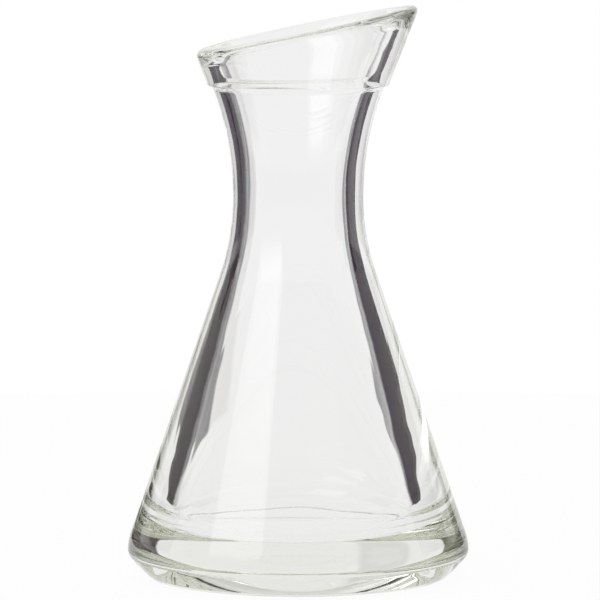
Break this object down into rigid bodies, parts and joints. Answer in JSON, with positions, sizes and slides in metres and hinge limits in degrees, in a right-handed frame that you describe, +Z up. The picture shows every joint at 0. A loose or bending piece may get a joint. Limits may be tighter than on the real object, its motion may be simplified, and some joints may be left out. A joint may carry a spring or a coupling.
{
  "type": "glass carafe",
  "caption": "Clear glass carafe with a conical body on a thick heavy foot, a waisted neck, a stepped collar and a slanted pouring lip.",
  "frame": {"origin": "centre of the rest ring, on the plane that the carafe stands on", "axes": "+Z up along the carafe, +X towards the high side of the slanted lip, which pours"},
  "size_m": [0.0958, 0.0958, 0.1598],
  "materials": {
    "glass": "clear polished soda-lime glass with a faint green-grey tint in the thick foot"
  },
  "bodies": {
    "root": {"carafe": "glass"}
  },
  "joints": []
}
